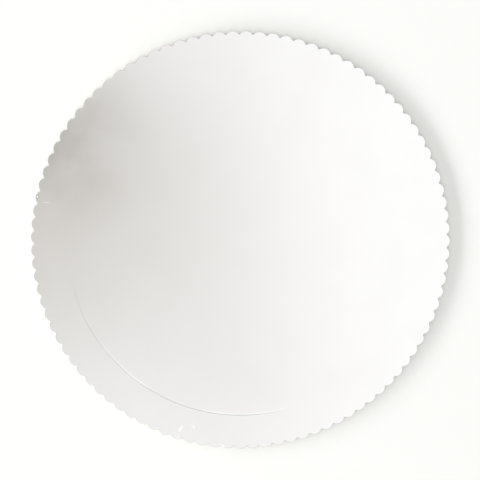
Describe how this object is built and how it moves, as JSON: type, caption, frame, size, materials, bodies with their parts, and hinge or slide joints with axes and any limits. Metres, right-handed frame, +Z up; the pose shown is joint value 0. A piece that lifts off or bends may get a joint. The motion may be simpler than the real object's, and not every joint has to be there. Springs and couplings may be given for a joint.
{
  "type": "cake board",
  "caption": "Round card cake board with a die-cut scalloped edge and a pressed ring that marks where the cake sits.",
  "frame": {"origin": "centre of the underside, on the surface that the board lies on", "axes": "+Z up out of the film face; +X through the tip of a scallop; +Y completes a right-handed frame"},
  "size_m": [0.3, 0.2998, 0.003],
  "materials": {
    "silver_card": "solid board faced with a satin silver film, bare at the cut edge and underneath"
  },
  "bodies": {
    "root": {"cake_board": "silver_card"}
  },
  "joints": []
}
